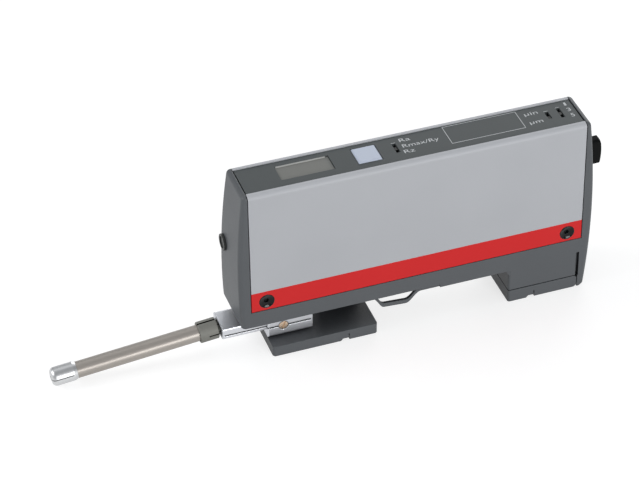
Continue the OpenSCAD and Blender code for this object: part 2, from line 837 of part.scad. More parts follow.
// Square cap with a chamfered top edge and a flange under the deck
module start_button() {
    top = overlay_top + button_proud;
    w = button_w / 2;
    c = button_chamfer;
    low = flange_top - eps;
    outline = [[-w, low], [w, low], [w, top - c], [w - c, top], [c - w, top], [-w, top - c]];
    color("#b7c0d0") {
        intersection() {
            translate([0, control_y, 0]) along_x(button_x - w, button_w) polygon(outline);
            translate([button_x, 0, 0]) along_y(control_y - w, button_w) polygon(outline);
        }
        control_block(button_x, button_w + 2 * flange_w, button_w + 2 * flange_w,
            flange_top - flange_t, flange_top);
    }
}

module switch_plunger() {
    color("#202224") translate([button_x, control_y, plunger_top - plunger_h])
        cylinder(d = plunger_d, h = plunger_h);
}

module start_switch() {
    color("#33363a") difference() {
        control_block(button_x, switch_w, switch_w, key_top, switch_top);
        translate([button_x, control_y, switch_top - plunger_h])
            cylinder(d = plunger_d + 2 * run_fit, h = plunger_h + eps);
    }
}

// Knob of a slide switch, moved along its slot
module knob(x, offset) {
    color("#1c1e20") translate([0, offset, 0])
        control_block(x, slot_w - 2 * play, knob_l, knob_bottom, knob_top);
}

module parameter_knob() {
    knob(parameter_x, 0);
}

module unit_knob() {
    knob(unit_x, -(unit_slot - knob_l - 2 * play) / 2);
}

module cutoff_knob() {
    knob(cutoff_x, 0);
}

module slide_switches() {
    color("#9a9da0") for (s = [[parameter_x, parameter_slot], [unit_x, unit_slot], [cutoff_x, cutoff_slot]])
        difference() {
            control_block(s[0], can_w, can_l, key_top, can_top);
            control_block(s[0], slot_w, s[1], knob_bottom - seat, can_top + eps);
        }
}

module main_board() {
    color("#2f5d3a") box([-cavity_x - groove_depth + play / 2, main_board_y - board_t, main_board_z],
        [leg_x + groove_depth - play / 2, main_board_y, main_board_z + main_board_h]);
}

// Chips on the inner face of the main board
module board_chips() {
    chips = 4;
    chip_t = 2.2;
    chip_l = 16;
    chip_h = 11;
    chip_less = 2;
    pitch = (leg_x + cavity_x) / chips;
    mid_z = main_board_z + main_board_h / 2;
    color("#1d1f21") for (i = [0:chips - 1])
        let (x = -cavity_x + pitch * (i + 1 / 2), l = chip_l - i * chip_less, h = chip_h - i * chip_less)
            box([x - l / 2, main_board_y - board_t - chip_t, mid_z - h / 2],
                [x + l / 2, main_board_y - board_t, mid_z + h / 2]);
}

module battery() {
    color("#3b3f45") {
        box([battery_x0, -battery_d / 2, battery_z],
            [battery_x0 + battery_w, battery_d / 2, battery_z + battery_h]);
        for (s = [-1, 1])
            translate([battery_x0 + battery_w / 2 + s * terminal_pitch / 2, 0, battery_z + battery_h - eps])
                cylinder(d = terminal_d, h = terminal_h + eps);
    }
}

// Plate with the two snaps, laid on the wall beside the battery
module battery_clip() {
    color("#222426") difference() {
        box([leg_x + play, -battery_d / 2 + clip_inset, partition_top],
            [battery_x0 + battery_w - clip_inset, battery_d / 2 - clip_inset, partition_top + clip_t]);
        for (s = [-1, 1])
            translate([battery_x0 + battery_w / 2 + s * terminal_pitch / 2, 0, partition_top + clip_t / 2])
                cylinder(d = terminal_d / 2, h = clip_t);
    }
}

// Bottom slab of the leg, hinged at its right edge
module battery_door() {
    color("#515557") difference() {
        intersection() {
            leg_solid();
            union() {
                box([leg_x - eps, -far, -eps], [door_pin_x, far, door_h]);
                along_y(-far, 2 * far)
                    polygon([[door_pin_x - eps, door_pin_z], [door_x1, door_pin_z],
                        [door_x1, door_h - door_bevel], [door_x1 - door_bevel, door_h],
                        [door_pin_x - eps, door_h]]);
                translate([door_pin_x, 0, door_pin_z]) bar_y(-far, 2 * far, 2 * door_pin_z);
            }
        }
        for (y = [-lug_y, lug_y])
            box([door_pin_x - door_pin_z, y - lug_w / 2 - play, -eps],
                [door_x1 + eps, y + lug_w / 2 + play, 2 * door_pin_z]);
        translate([door_pin_x, 0, door_pin_z]) bar_y(-lug_y - lug_w, 2 * (lug_y + lug_w), door_pin_d);
        foot_notch(leg_notch_x);
    }
}

module door_pin() {
    color("silver") translate([door_pin_x, 0, door_pin_z])
        bar_y(-lug_y - lug_w, 2 * (lug_y + lug_w), door_pin_d);
}

// Round socket with its contacts, set in the end wall
module connector_socket() {
    sunk = 0.4;
    pin_d = 0.8;
    pin_l = 0.6;
    outer_x = end_x(connector_z) - sunk;
    inner_x = bay_x1 + play;
    color("#2a2c2e") translate([0, 0, connector_z]) {
        difference() {
            bar_x(inner_x, outer_x - inner_x, connector_d);
            bar_x(inner_x + socket_rim, far, connector_d - 2 * socket_rim);
        }
        for (a = [0:72:359])
            rotate([a, 0, 0]) translate([0, 0, connector_d / 4]) bar_x(inner_x, socket_rim + pin_l, pin_d);
    }
}

// Rubber cap over the connector: a flange, a flat grip with a rounded end, and a spigot in the socket
module connector_cap() {
    flange = 1.2;
    spigot = 2;
    corner = 1.6;
    crown_r = 30;
    color("#141616") translate([end_x(connector_z) + seat, 0, connector_z]) {
        bar_x(0, flange, cap_d);
        bar_x(-spigot, spigot + eps, connector_d - 2 * socket_rim - 2 * play);
        intersection() {
            along_x(flange / 2, cap_l) rounded_rect(grip_t, grip_h, corner);
            translate([cap_l - crown_r, 0, 0]) bar_y(-far, 2 * far, 2 * crown_r, $fn = 180);
        }
    }
}

// Dished plug in the left end
module end_plug() {
    flange = 0.9;
    rim = 0.8;
    dish = 0.5;
    color("#3c3e3c") translate([-end_x(plug_z) - seat, plug_y, plug_z]) rotate([0, -90, 0])
        difference() {
            union() {
                cylinder(d = plug_d, h = flange);
                translate([0, 0, -plug_stem_l]) cylinder(d = plug_stem_d, h = plug_stem_l + eps);
            }
            translate([0, 0, flange - dish]) cylinder(d = plug_d - 2 * rim, h = 2 * dish);
        }
}

// Bracket with the bearing plates of the drive
module drive_base() {
    color("#8d9093") difference() {
        union() {
            box([left_plate_x, -drive_half_w, floor_top], [motor_x + motor_l, drive_half_w, base_top]);
            for (x = [left_plate_x, right_plate_x])
                box([x, -drive_half_w, floor_top], [x + plate_t, drive_half_w, plate_top]);
            box([motor_plate_x, -drive_half_w, floor_top],
                [motor_plate_x + motor_plate_t, drive_half_w, plate_top + motor_plate_rise]);
        }
        neck_slot(floor_top, base_top);
        for (y = [-rod_y, rod_y])
            translate([0, y, drive_z]) bar_x(left_plate_x - eps, rod_l + 2 * eps, rod_d + press_fit);
        translate([0, 0, drive_z]) {
            bar_x(left_plate_x - eps, rod_l + 2 * eps, screw_d + 2 * run_fit);
            bar_x(motor_plate_x - eps, motor_plate_t + 2 * eps, shaft_d + 2 * run_fit);
        }
        for (p = drive_screw_places())
            translate([p[0], p[1], floor_top - eps])
                cylinder(d = cover_screw_d + 2 * play, h = drive_t + 2 * eps);
    }
}

module drive_screws() {
    color("silver") for (p = drive_screw_places()) translate([p[0], p[1], base_top]) {
        cylinder(d = 1.6 * cover_screw_d, h = head_t);
        translate([0, 0, screw_tip_gap - drive_t - floor_t])
            cylinder(d = cover_screw_d, h = drive_t + floor_t - screw_tip_gap + eps);
    }
}

module guide_rods() {
    color("silver") for (y = [-rod_y, rod_y])
        translate([0, y, drive_z]) bar_x(left_plate_x, rod_l, rod_d);
}

// Sliding block with the neck that reaches down through the floor
module carriage() {
    color("#a7aaad") difference() {
        union() {
            box([carriage_x0, -drive_half_w + carriage_side, base_top + carriage_under],
                [carriage_x0 + carriage_l, drive_half_w - carriage_side, drive_z + carriage_rise]);
            box([swivel_x - neck_l / 2, -neck_w / 2, neck_bottom],
                [swivel_x + neck_l / 2, neck_w / 2, base_top + carriage_under + eps]);
        }
        for (y = [-rod_y, rod_y])
            translate([0, y, drive_z]) bar_x(carriage_x0 - eps, carriage_l + 2 * eps, rod_d + 2 * run_fit);
        translate([0, 0, drive_z]) bar_x(carriage_x0 - eps, carriage_l + 2 * eps, nut_d + press_fit);
        translate([swivel_x, 0, neck_bottom - eps])
            cylinder(d = swivel_d + press_fit, h = pin_depth + 2 * eps);
    }
}

module lead_nut() {
    color("#c9a24c") translate([0, 0, drive_z]) difference() {
        bar_x(carriage_x0, carriage_l, nut_d);
        bar_x(carriage_x0 - eps, carriage_l + 2 * eps, screw_d + 2 * run_fit);
    }
}

module lead_screw() {
    color("silver") translate([0, 0, drive_z])
        bar_x(left_plate_x, coupling_x + coupling_grip - left_plate_x, screw_d);
}

module shaft_coupling() {
    color("#6f7377") translate([0, 0, drive_z]) difference() {
        bar_x(coupling_x, coupling_l, coupling_d);
        bar_x(coupling_x - eps, coupling_grip + eps, screw_d + press_fit);
        bar_x(coupling_x + coupling_grip, coupling_l, shaft_d + press_fit);
    }
}

module motor_shaft() {
    color("silver") translate([0, 0, drive_z])
        bar_x(coupling_x + coupling_grip + play,
            gearhead_x + shaft_grip - coupling_x - coupling_grip, shaft_d);
}

module gearhead() {
    color("#b9a46a") translate([0, 0, drive_z]) difference() {
        bar_x(gearhead_x, gearhead_l, gearhead_d);
        bar_x(gearhead_x - eps, 2 * shaft_grip + eps, shaft_d + 2 * run_fit);
    }
}

module drive_motor() {
    color("silver") translate([0, 0, drive_z]) bar_x(motor_x, motor_l, motor_d);
}

// Foot plate under the holder, carried by a web at the back
module front_foot() {
    color("#54585a") difference() {
        union() {
            intersection() {
                leaning_prism(foot_x, foot_x + foot_l, 0, foot_t);
                translate([foot_x + foot_l / 2, 0, 0]) linear_extrude(foot_t)
                    rounded_rect(foot_l, base_d, foot_r);
            }
            intersection() {
                leaning_prism(foot_x + foot_l - web_l, foot_x + foot_l - web_inset, foot_t - eps, floor_z);
                box([foot_x, web_y, 0], [0, far, floor_z]);
            }
        }
        for (x = foot_screw_places())
            translate([x, foot_screw_y(), 0]) {
                translate([0, 0, -eps]) cylinder(d = foot_screw_d + 2 * play, h = floor_z + 2 * eps);
                translate([0, 0, -eps]) cylinder(d = foot_screw_head + 2 * play, h = foot_t + eps);
            }
        foot_notch(foot_notch_x);
    }
}

module foot_screws() {
    head = 2.6;
    socket_d = 2.4;
    socket_depth = 1.6;
    color("#2a2c2e") for (x = foot_screw_places())
        translate([x, foot_screw_y(), foot_t]) difference() {
            union() {
                translate([0, 0, -head]) cylinder(d = foot_screw_head, h = head);
                translate([0, 0, -eps])
                    cylinder(d = foot_screw_d, h = eps + floor_top - screw_tip_gap - foot_t);
            }
            translate([0, 0, -head - eps]) cylinder(d = socket_d, h = socket_depth + eps, $fn = 6);
        }
}

module swivel_pin() {
    block_bottom = slit_z - block_h / 2;
    color("silver") translate([swivel_x, 0, block_bottom]) {
        cylinder(d = swivel_head_d, h = head_t);
        cylinder(d = swivel_d, h = neck_bottom + pin_depth - block_bottom);
    }
}

// Plated block with the sleeve that takes the probe
module swivel_holder() {
    block_x0 = block_end_x - block_l;
    cave_h = 3.6;
    cave_l = 5.5;
    color("#c9cbce") difference() {
        union() {
            intersection() {
                along_x(block_x0, block_l) translate([0, slit_z]) rounded_rect(block_w, block_h, block_r);
                translate([block_x0, 0, 0]) linear_extrude(far) {
                    translate([block_l / 2 + block_nose_r / 2, 0])
                        square([block_l - block_nose_r, block_w], center = true);
                    for (y = [-1, 1])
                        translate([block_nose_r, y * (block_w / 2 - block_nose_r)]) circle(block_nose_r);
                    translate([0, -block_w / 2 + block_nose_r])
                        square([block_l, block_w - 2 * block_nose_r]);
                }
            }
            along_x(sleeve_x, block_x0 + block_nose_r - sleeve_x)
                translate([0, tilt_z]) rounded_rect(sleeve_w, sleeve_h, sleeve_r);
        }
        // Slit along the front of block and sleeve
        box([block_x0 + slit_in, -far, slit_z - slit_w / 2],
            [block_end_x - slit_in, -block_w / 2 + slit_depth, slit_z + slit_w / 2]);
        box([sleeve_x + slit_in, -far, slit_z - slit_w / 2],
            [block_x0 + eps, -sleeve_w / 2 + slit_depth / 2, slit_z + slit_w / 2]);
        // Hollow that the tongue tilts in
        box([sleeve_x - eps, -tongue_w / 2 - play, tilt_z - cave_h / 2],
            [tilt_x + cave_l, tongue_w / 2 + play, tilt_z + cave_h / 2]);
        translate([tilt_x, 0, tilt_z])
            bar_y(-sleeve_w / 2 + tilt_in, sleeve_w - 2 * tilt_in, tilt_d + press_fit);
        // Swivel pin with its head, and clamp screw
        translate([swivel_x, 0, 0]) cylinder(d = swivel_d + 2 * run_fit, h = far);
        translate([swivel_x, 0, 0])
            cylinder(d = swivel_head_d + 4 * run_fit, h = slit_z - block_h / 2 + head_t + seat);
        translate([swivel_x + clamp_offset, 0, slit_z]) {
            bar_y(-block_w / 2 - eps, clamp_head + eps, clamp_head_d + 2 * play);
            bar_y(-block_w / 2, clamp_l + play, clamp_d + 2 * run_fit);
        }
    }
}

// Slotted brass screw in the slit
module clamp_screw() {
    slot = 0.7;
    slot_depth = 0.5;
    slot_turn = 20;
    color("#d9c08a") translate([swivel_x + clamp_offset, -block_w / 2, slit_z]) difference() {
        union() {
            bar_y(0, clamp_head, clamp_head_d);
            bar_y(0, clamp_l, clamp_d);
        }
        rotate([0, slot_turn, 0]) box([-slot / 2, -eps, -clamp_head_d], [slot / 2, slot_depth, clamp_head_d]);
    }
}

module tilt_pin() {
    color("silver") translate([tilt_x, 0, tilt_z])
        bar_y(-sleeve_w / 2 + tilt_in + seat, sleeve_w - 2 * (tilt_in + seat), tilt_d);
}

// Places its children on the drooping probe, with +X along it from the tilt axis
module on_probe() {
    translate([tilt_x, 0, tilt_z]) rotate([0, -droop, 0]) rotate([0, 0, 180]) children();
}

// Slotted collar with the tongue that hangs on the tilt pin
module probe_collar() {
    cut = 0.6;
    color("#69695f") on_probe() difference() {
        union() {
            bar_x(collar_s, collar_l, collar_d);
            box([-tongue_tail, -tongue_w / 2, -tongue_t / 2], [collar_s + eps, tongue_w / 2, tongue_t / 2]);
        }
        bar_y(-tongue_w, 2 * tongue_w, tilt_d + 2 * run_fit);
        bar_x(tube_s0, collar_l, tube_d + press_fit);
        for (slot = [[50, collar_l + eps], [-150, collar_l / 2]])
            rotate([slot[0], 0, 0]) box([collar_s - eps, collar_d / 2 - cut, -cut / 2],
                [collar_s + slot[1], collar_d, cut / 2]);
    }
}

module probe_tube() {
    color("#918a84") on_probe() difference() {
        bar_x(tube_s0, tip_s0 - tube_s0, tube_d);
        bar_x(tube_s0 + tube_grip / 2, tip_s0, tube_bore);
    }
}

// Nosepiece with the round skid and the slot of the stylus
module probe_tip() {
    r = tip_d / 2;
    wall = 0.7;
    nose_t = 2;
    taper = 1.2;
    slot_back = 1.4;
    slot_top = 0.8;
    hollow_r = tube_bore / 2 - wall;
    profile = concat([[hollow_r, tip_s0 - spigot_l], [tube_bore / 2 - press_fit / 2, tip_s0 - spigot_l],
            [tube_bore / 2 - press_fit / 2, tip_s0], [tube_d / 2, tip_s0], [r, tip_s0 + taper]],
        [for (a = [0:9:90]) [r - tip_r + tip_r * cos(a), tip_end_s - tip_r + tip_r * sin(a)]],
        [[0, tip_end_s], [0, tip_end_s - nose_t], [hollow_r, tip_end_s - nose_t]]);
    color("#d4d6d8") on_probe() difference() {
        rotate([0, 90, 0]) rotate_extrude() polygon(profile);
        box([stylus_s - slot_back, -tip_slot_w / 2, -far], [tip_end_s + eps, tip_slot_w / 2, slot_top]);
    }
}

module pickup_coil() {
    color("#b0713a") on_probe() bar_x(coil_s0, coil_l, tube_bore - 2 * play);
}

// Stylus on its lever
module stylus() {
    point = 1;
    point_d = 0.2;
    axle = 0.6;
    color("#cfd2d6") on_probe() {
        bar_x(coil_s0 + coil_l + play, stylus_s - coil_s0 - coil_l - play, stylus_d);
        translate([stylus_s, 0, -tip_d / 2]) rotate_extrude()
            polygon([[0, -stylus_proud], [point_d / 2, -stylus_proud], [stylus_d / 2, point],
                [stylus_d / 2, point + tip_d / 2 - axle], [0, point + tip_d / 2 - axle]]);
    }
}

// Puts the middle of the front foot's underside at the origin
module from_foot() {
    translate([-foot_x - foot_l / 2, 0, 0]) children();
}

from_foot() frame();
from_foot() front_cover();
from_foot() rear_cover();
from_foot() cover_screws();
from_foot() top_overlay();
from_foot() display_window();
from_foot() display_module();
from_foot() key_board();
from_foot() key_board_screws();
from_foot() start_button();
from_foot() switch_plunger();
from_foot() start_switch();
from_foot() parameter_knob();
from_foot() unit_knob();
from_foot() cutoff_knob();
from_foot() slide_switches();
from_foot() main_board();
from_foot() board_chips();
from_foot() battery();
from_foot() battery_clip();
from_foot() battery_door();
from_foot() door_pin();
from_foot() connector_socket();
from_foot() connector_cap();
from_foot() end_plug();
from_foot() drive_base();
from_foot() drive_screws();
from_foot() guide_rods();
from_foot() carriage();
from_foot() lead_nut();
from_foot() lead_screw();
from_foot() shaft_coupling();
from_foot() motor_shaft();
from_foot() gearhead();
from_foot() drive_motor();
from_foot() front_foot();
from_foot() foot_screws();
from_foot() swivel_pin();
from_foot() swivel_holder();
from_foot() clamp_screw();
from_foot() tilt_pin();
from_foot() probe_collar();
from_foot() probe_tube();
from_foot() probe_tip();
from_foot() pickup_coil();
from_foot() stylus();
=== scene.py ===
"""Looks of a pocket surface roughness tester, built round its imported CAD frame."""
import json
import math

import bmesh
import bpy
import numpy as np
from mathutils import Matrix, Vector


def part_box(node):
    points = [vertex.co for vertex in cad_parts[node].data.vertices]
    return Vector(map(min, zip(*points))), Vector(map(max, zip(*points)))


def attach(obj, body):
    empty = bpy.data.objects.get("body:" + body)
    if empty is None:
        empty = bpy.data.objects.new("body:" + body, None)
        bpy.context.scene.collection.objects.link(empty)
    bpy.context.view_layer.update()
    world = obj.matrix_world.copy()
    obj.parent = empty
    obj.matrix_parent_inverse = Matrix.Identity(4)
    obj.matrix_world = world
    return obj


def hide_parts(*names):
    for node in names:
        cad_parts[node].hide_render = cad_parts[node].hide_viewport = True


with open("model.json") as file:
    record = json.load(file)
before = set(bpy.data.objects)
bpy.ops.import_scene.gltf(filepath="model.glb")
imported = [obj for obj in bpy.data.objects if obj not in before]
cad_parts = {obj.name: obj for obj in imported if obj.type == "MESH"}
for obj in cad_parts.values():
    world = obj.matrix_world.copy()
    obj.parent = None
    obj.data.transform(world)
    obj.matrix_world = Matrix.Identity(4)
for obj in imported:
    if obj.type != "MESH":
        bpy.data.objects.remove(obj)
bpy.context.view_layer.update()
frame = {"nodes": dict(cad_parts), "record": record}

# Studio. A soft overcast dome, with soft boxes on the left, low in front, overhead and behind. The camera
# stands at the front left, well above the table, with a long lens.
MM = 0.001
AZIMUTH = math.radians(-19.7)
ELEVATION = math.radians(38.6)
CAMERA_X, CAMERA_Y, CAMERA_Z = -287.99, -706.05, 638.81
LENS = 146.25
SENSOR = 36.0
scene = bpy.context.scene
scene.view_settings.view_transform = "Standard"
towards_camera = Vector((math.sin(AZIMUTH) * math.cos(ELEVATION),
                         -math.cos(AZIMUTH) * math.cos(ELEVATION), math.sin(ELEVATION)))
strip_low, strip_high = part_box("top_overlay")
MIDDLE = (strip_low.x + strip_high.x) / 2
camera = bpy.data.objects.new("camera", bpy.data.cameras.new("camera"))
camera.data.lens = LENS
camera.data.sensor_width = SENSOR
camera.data.clip_start = 0.05
camera.data.clip_end = 60.0
camera.location = (MIDDLE + CAMERA_X * MM, CAMERA_Y * MM, CAMERA_Z * MM)
camera.rotation_mode = "QUATERNION"
camera.rotation_quaternion = (-towards_camera).to_track_quat("-Z", "Y")
scene.collection.objects.link(camera)
scene.camera = camera

world = bpy.data.worlds.new("overcast_dome")
world.use_nodes = True
dome = world.node_tree.nodes["Background"]
dome.inputs["Color"].default_value = (0.95, 0.97, 1.0, 1.0)
dome.inputs["Strength"].default_value = 0.42
scene.world = world


def soft_box(name, place, aim, width, height, watts):
    """A rectangular lamp at a place, turned to shine at the point that it aims at, in metres."""
    lamp = bpy.data.lights.new(name, "AREA")
    lamp.shape = "RECTANGLE"
    lamp.size = width
    lamp.size_y = height
    lamp.energy = watts
    holder = bpy.data.objects.new(name, lamp)
    holder.location = place
    holder.rotation_mode = "QUATERNION"
    holder.rotation_quaternion = (Vector(aim) - Vector(place)).to_track_quat("-Z", "Y")
    scene.collection.objects.link(holder)


soft_box("left_strip", place=(-1.0, 0.25, 0.62), aim=(0.03, 0.0, 0.03), width=0.8, height=0.35, watts=6.5)
soft_box("low_front_fill", place=(0.35, -1.35, 0.38), aim=(0.03, 0.0, 0.04), width=0.75, height=0.45,
         watts=12.0)
soft_box("overhead", place=(0.05, 0.5, 1.1), aim=(0.03, 0.0, 0.04), width=1.2, height=0.6, watts=1.5)
soft_box("rear_fill", place=(0.8, 1.3, 0.5), aim=(0.03, 0.0, 0.04), width=1.0, height=0.6, watts=8.0)

# Table. A wide sheet of pale matt paper, laid flat under the feet. The camera sees it lifted to white, and
# so do metal and glass that mirror it, while it keeps the object's shadow.
TABLE_HALF = 6.0
TABLE_Z = -0.05 * MM


def sheet_mesh(name, points, faces):
    """A mesh object at the origin from whole arrays of corner points and of faces."""
    mesh = bpy.data.meshes.new(name)
    mesh.from_pydata(np.asarray(points, float).tolist(), [], np.asarray(faces, int).tolist())
    mesh.update()
    made = bpy.data.objects.new(name, mesh)
    scene.collection.objects.link(made)
    return made


class Shade:
    """One socket of a node tree, on which Python's operators add Math nodes."""

    def __init__(self, tree, socket=None):
        self.tree = tree
        self.socket = socket

    def node(self, kind, settings=None, inputs=None, out=0):
        """Any other node: its settings first, then the values or links of its sockets by name or number."""
        made = self.tree.nodes.new(kind)
        for key, value in (settings or {}).items():
            setattr(made, key, value)
        for key, value in (inputs or {}).items():
            if isinstance(value, Shade):
                self.tree.links.new(value.socket, made.inputs[key])
            else:
                made.inputs[key].default_value = value
        return Shade(self.tree, made.outputs[out])

    def maths(self, operation, *values, clamp=False):
        """A Math node of one operation on sockets and numbers."""
        return self.node("ShaderNodeMath", {"operation": operation, "use_clamp": clamp},
                         dict(enumerate(values)))

    def __add__(self, other):
        return self.maths("ADD", self, other)

    def __radd__(self, other):
        return self.maths("ADD", other, self)

    def __sub__(self, other):
        return self.maths("SUBTRACT", self, other)

    def __rsub__(self, other):
        return self.maths("SUBTRACT", other, self)

    def __mul__(self, other):
        return self.maths("MULTIPLY", self, other)

    def __rmul__(self, other):
        return self.maths("MULTIPLY", other, self)


def new_finish(name, **constants):
    """An empty finish: its material, its shader, a Shade to build with and the object's coordinates."""
    material = bpy.data.materials.new(name)
    material.use_nodes = True
    shader = material.node_tree.nodes["Principled BSDF"]
    for socket, value in constants.items():
        shader.inputs[socket.replace("_", " ")].default_value = value
    start = Shade(material.node_tree)
    return material, shader, start, start.node("ShaderNodeTexCoord", out="Object")


def feed(shader, socket, value):
    """Links what changes over the surface to one of the shader's sockets."""
    value.tree.links.new(value.socket, shader.inputs[socket])


def rgb(red, green, blue):
    """A colour given in display values from 0 to 255, as linear light with full alpha."""
    shown = np.array([red, green, blue]) / 255.0
    linear = np.where(shown <= 0.04045, shown / 12.92, ((shown + 0.055) / 1.055) ** 2.4)
    return (*linear.tolist(), 1.0)


def grain(start, where, size_mm, detail=2.0, stretch=(1.0, 1.0, 1.0), turn=(0.0, 0.0, 0.0)):
    """Noise from 0 to 1 whose lumps are about size_mm wide, turned and drawn out along an axis."""
    placed = start.node("ShaderNodeMapping", inputs={"Vector": where, "Scale": stretch, "Rotation": turn})
    return start.node("ShaderNodeTexNoise",
                      inputs={"Vector": placed, "Scale": 1000.0 / size_mm, "Detail": detail})


def tint(start, amount, dark, light):
    """Colour that runs from dark to light as the amount goes from 0 to 1."""
    return start.node("ShaderNodeMix", {"data_type": "RGBA"}, {0: amount, 6: dark, 7: light}, out=2)


table_corners = TABLE_HALF * np.array([[-1, -1, 0], [1, -1, 0], [1, 1, 0], [-1, 1, 0]])
table = sheet_mesh("table", table_corners + [0.0, 0.0, TABLE_Z], [[0, 1, 2, 3]])
finish, shader, start, where = new_finish("table_paper", Roughness=0.9, Specular_IOR_Level=0.1,
                                          Emission_Strength=1.0)
seen = start.node("ShaderNodeLightPath", out="Is Camera Ray")
mirrored = start.node("ShaderNodeLightPath", out="Is Glossy Ray")
through = start.node("ShaderNodeLightPath", out="Is Transmission Ray")
lift = start.maths("ADD", seen + mirrored, through, clamp=True)
feed(shader, "Emission Color", tint(start, lift, (0.0, 0.0, 0.0, 1.0), (0.7, 0.7, 0.7, 1.0)))
feed(shader, "Base Color", tint(start, grain(start, where, 40.0), rgb(166, 166, 166), rgb(172, 172, 172)))
table.data.materials.append(finish)

# Housing. One die casting with both bulged ends, the deck, the underside and the rear leg, sprayed with
# a dark grey, finely textured enamel. The front foot and the battery door get the same coat, with painted
# shade darkening it in gaps, corners and under the housing.
PAINTED_SHADE_REACH = 40.0


def soft_edge(start, radius_mm):
    """Normal that rounds off the corners of a solid by a small radius."""
    return start.node("ShaderNodeBevel", {"samples": 6}, {"Radius": radius_mm * MM})


def dimple(start, height, depth_mm, normal, strength):
    """Bump of a given depth over a normal that is already rounded."""
    return start.node("ShaderNodeBump", inputs={"Height": height, "Distance": depth_mm * MM,
                                                "Strength": strength, "Normal": normal})


def openness(start, reach_mm, own_only=False):
    """How open a place is to what lies within a reach: 1 in the open, 0 deep in a gap."""
    return start.node("ShaderNodeAmbientOcclusion", {"samples": 8, "only_local": own_only},
                      {"Distance": reach_mm * MM}, out="AO")


def eased(start, value, low, high):
    """Runs smoothly from 0 to 1 as a value goes from low to high."""
    return start.node("ShaderNodeMapRange", {"interpolation_type": "SMOOTHSTEP"},
                      {"Value": value, "From Min": low, "From Max": high})


def wear(finish, *nodes):
    """Puts a finish on CAD nodes."""
    for name in nodes:
        slots = frame["nodes"][name].data.materials
        slots.clear()
        slots.append(finish)


finish, shader, start, where = new_finish("grey_enamel", Specular_IOR_Level=0.3)
orange_peel = grain(start, where, 0.55, detail=3.0)
cloud = grain(start, where, 22.0)
speck = grain(start, where, 0.18)
# Painted shade: where nearby parts close a place in, the enamel is tinted down to a near black grey.
free_of_painted_shade = eased(start, openness(start, PAINTED_SHADE_REACH), 0.12, 0.56)
sprayed = tint(start, cloud * 0.55 + speck * 0.45, rgb(80, 83, 86), rgb(93, 96, 99))
feed(shader, "Base Color", tint(start, free_of_painted_shade, rgb(38, 40, 43), sprayed))
feed(shader, "Roughness", 0.40 + orange_peel * 0.16)
feed(shader, "Normal", dimple(start, orange_peel, 0.02, soft_edge(start, 0.35), 0.5))
wear(finish, "frame", "front_foot", "battery_door")

# Drive bracket. A folded aluminium bracket on the floor and the milled carriage that slides over it. A
# clamped aluminium coupling joins the gear motor's shaft to the lead screw.
MILL_MARKS = {"size_mm": 0.5, "detail": 3.0, "stretch": (0.08, 1.0, 1.0)}


def grained_finish(name, lumps, dark, light, gloss, bump, edge_mm, **constants):
    """A finish in which one grain carries the colour from dark to light, the roughness and the bump.

    lumps are the grain's own values. gloss is the least roughness and what the grain adds to it. bump is
    the grain's depth in mm and its strength, over corners that are rounded by edge_mm.
    """
    finish, shader, start, where = new_finish(name, **constants)
    lump = grain(start, where, **lumps)
    feed(shader, "Base Color", tint(start, lump, rgb(*dark), rgb(*light)))
    feed(shader, "Roughness", gloss[0] + lump * gloss[1])
    feed(shader, "Normal", dimple(start, lump, bump[0], soft_edge(start, edge_mm), bump[1]))
    return finish


wear(grained_finish("milled_aluminium", MILL_MARKS,
                    dark=(150, 153, 156), light=(186, 188, 190), gloss=(0.28, 0.2), bump=(0.01, 0.4),
                    edge_mm=0.15, Metallic=1.0),
     "drive_base", "carriage", "shaft_coupling")

# Rods, pins and cans. Guide rods, lead screw, shaft, pins and stylus are ground bright steel. The small
# screws and the pressed cans of the motor and of the switches have nearly the same look.
wear(grained_finish("ground_steel", {"size_mm": 0.3, "stretch": (0.15, 1.0, 1.0)},
                    dark=(168, 168, 170), light=(206, 206, 208), gloss=(0.18, 0.16), bump=(0.006, 0.4),
                    edge_mm=0.1, Metallic=1.0),
     "guide_rods", "lead_screw", "motor_shaft", "drive_screws", "key_board_screws", "swivel_pin",
     "tilt_pin", "door_pin", "drive_motor", "slide_switches", "stylus")

# Lead nut and gearhead. The nut is turned from bronze and pressed into the carriage, where it runs on the
# lead screw. The gearhead's case is turned from a like metal and sits between the bracket and the motor.
wear(grained_finish("turned_bronze", {"size_mm": 0.4, "stretch": (1.0, 0.2, 0.2)},
                    dark=(196, 160, 96), light=(222, 190, 126), gloss=(0.25, 0.15), bump=(0.008, 0.4),
                    edge_mm=0.1, Metallic=1.0),
     "lead_nut", "gearhead")

# Circuit boards. Glass-fibre boards with a green solder mask that shows the weave. One is screwed under
# the deck, and the other stands in grooves in the housing.
finish, shader, start, where = new_finish("solder_mask", Roughness=0.3, Coat_Weight=0.3)
weave = start.node("ShaderNodeTexWave", {"wave_type": "BANDS", "bands_direction": "DIAGONAL"},
                   {"Vector": where, "Scale": 900.0, "Distortion": 1.5}, out="Fac")
feed(shader, "Base Color", tint(start, weave * 0.5 + grain(start, where, 6.0) * 0.5,
                                rgb(22, 74, 44), rgb(40, 104, 62)))
feed(shader, "Normal", dimple(start, weave, 0.01, soft_edge(start, 0.1), 0.3))
wear(finish, "key_board", "main_board")

# Small black mouldings. The knobs of the slide switches, the start switch and its plunger, the chips on
# the board, the battery clip and the connector socket are moulded in black plastic.
wear(grained_finish("black_moulding", {"size_mm": 0.25},
                    dark=(22, 23, 24), light=(34, 35, 36), gloss=(0.38, 0.2), bump=(0.01, 0.5),
                    edge_mm=0.12, Specular_IOR_Level=0.4),
     "switch_plunger", "start_switch", "parameter_knob", "unit_knob", "cutoff_knob", "board_chips",
     "battery_clip", "connector_socket")

# Battery. A block battery in a plain printed steel jacket with two snap terminals on top, standing on
# the door that closes the leg.
JACKET_BAND = 40.0 * MM


def coordinate(start, where, axis):
    """One coordinate of a place: axis 0 runs along the housing, 1 to the back and 2 up."""
    return start.node("ShaderNodeSeparateXYZ", inputs={0: where}, out=axis)


